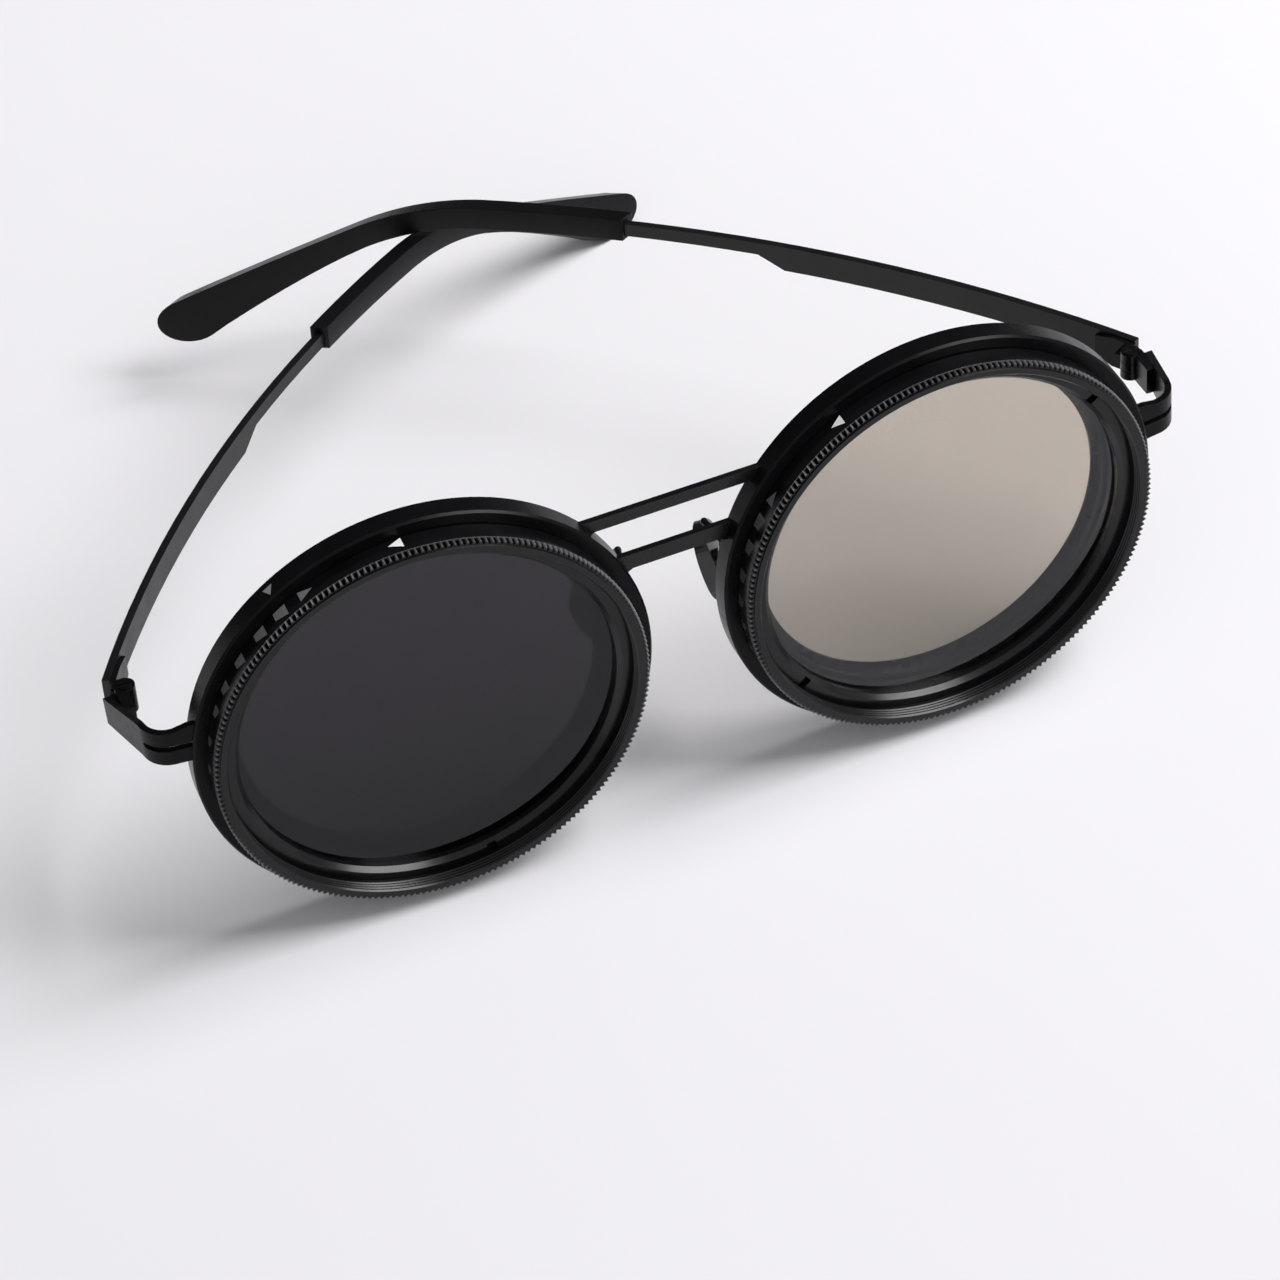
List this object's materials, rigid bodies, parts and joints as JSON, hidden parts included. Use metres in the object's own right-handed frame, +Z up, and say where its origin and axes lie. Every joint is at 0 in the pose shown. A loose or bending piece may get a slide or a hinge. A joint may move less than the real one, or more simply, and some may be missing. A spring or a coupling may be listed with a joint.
{
  "type": "rotating sunglasses",
  "caption": "Round sunglasses with a straight double bridge and deep knurled lens rings that turn to darken or clear the view, on hinged temples with soft ear sleeves.",
  "frame": {"origin": "on the table under the middle of the whole, with both temples partly folded", "axes": "+X across the face towards the right-hand rim as seen from the front, +Y from the face back along the temples, +Z up from the table"},
  "size_m": [0.1422, 0.1091, 0.0593],
  "materials": {
    "ring_metal": "satin black anodised",
    "strip_metal": "satin black",
    "hinge_metal": "semi gloss black",
    "steel": "satin",
    "slip": "low friction plastic",
    "polariser": "polished grey-brown polarising glass",
    "sleeve": "soft matte black",
    "marking": "matt printed ink",
    "pad": "smooth soft dark grey"
  },
  "bodies": {
    "frame": {"bridge_upper": "strip_metal", "bridge_lower": "strip_metal", "rim_l": "ring_metal", "rim_r": "ring_metal", "rear_glass_l": "polariser", "rear_glass_r": "polariser", "rear_keeper_l": "ring_metal", "rear_keeper_r": "ring_metal", "snap_ring_l": "steel", "snap_ring_r": "steel", "slip_ring_l": "slip", "slip_ring_r": "slip", "lug_l": "strip_metal", "lug_r": "strip_metal", "hinge_front_l": "hinge_metal", "hinge_front_r": "hinge_metal", "hinge_screw_l": "steel", "hinge_screw_r": "steel", "pad_arm_l": "strip_metal", "pad_arm_r": "strip_metal", "pad_box_l": "hinge_metal", "pad_box_r": "hinge_metal", "pad_screw_l": "steel", "pad_screw_r": "steel"},
    "ring_l": {"turn_ring_l": "ring_metal", "front_glass_l": "polariser", "front_keeper_l": "ring_metal"},
    "temple_arm_l": {"hinge_temple_l": "hinge_metal", "temple_l": "strip_metal", "sleeve_l": "sleeve"},
    "pad_l": {"nose_pad_l": "pad", "pad_post_l": "steel"},
    "ring_r": {"turn_ring_r": "ring_metal", "front_glass_r": "polariser", "front_keeper_r": "ring_metal"},
    "temple_arm_r": {"hinge_temple_r": "hinge_metal", "temple_r": "strip_metal", "sleeve_r": "sleeve"},
    "pad_r": {"nose_pad_r": "pad", "pad_post_r": "steel"}
  },
  "joints": [
    {"name": "temple_l_fold", "type": "hinge", "parent": "frame", "child": "temple_arm_l", "pos_m": [-0.0682, -0.03442, 0.03335], "axis": [-0.0384, -0.1204, -0.992], "range_deg": [-29.6, 40]},
    {"name": "temple_r_fold", "type": "hinge", "parent": "frame", "child": "temple_arm_r", "pos_m": [0.0682, -0.03442, 0.03335], "axis": [0.0384, 0.1204, 0.992], "range_deg": [-31.6, 2.5]},
    {"name": "ring_l_turn", "type": "hinge", "parent": "frame", "child": "ring_l", "pos_m": [-0.0347, -0.05216, 0.03011], "axis": [0.0209, 0.9961, -0.0857], "continuous": true},
    {"name": "ring_r_turn", "type": "hinge", "parent": "frame", "child": "ring_r", "pos_m": [0.0347, -0.05216, 0.03011], "axis": [-0.0209, 0.9961, -0.0857], "continuous": true},
    {"name": "pad_l_rock", "type": "hinge", "parent": "frame", "child": "pad_l", "pos_m": [-0.01003, -0.03913, 0.02802], "axis": [-0.4384, 0.8955, -0.077], "range_deg": [-8, 8]},
    {"name": "pad_r_rock", "type": "hinge", "parent": "frame", "child": "pad_r", "pos_m": [0.01003, -0.03913, 0.02802], "axis": [0.4384, 0.8955, -0.077], "range_deg": [-8, 8]}
  ]
}
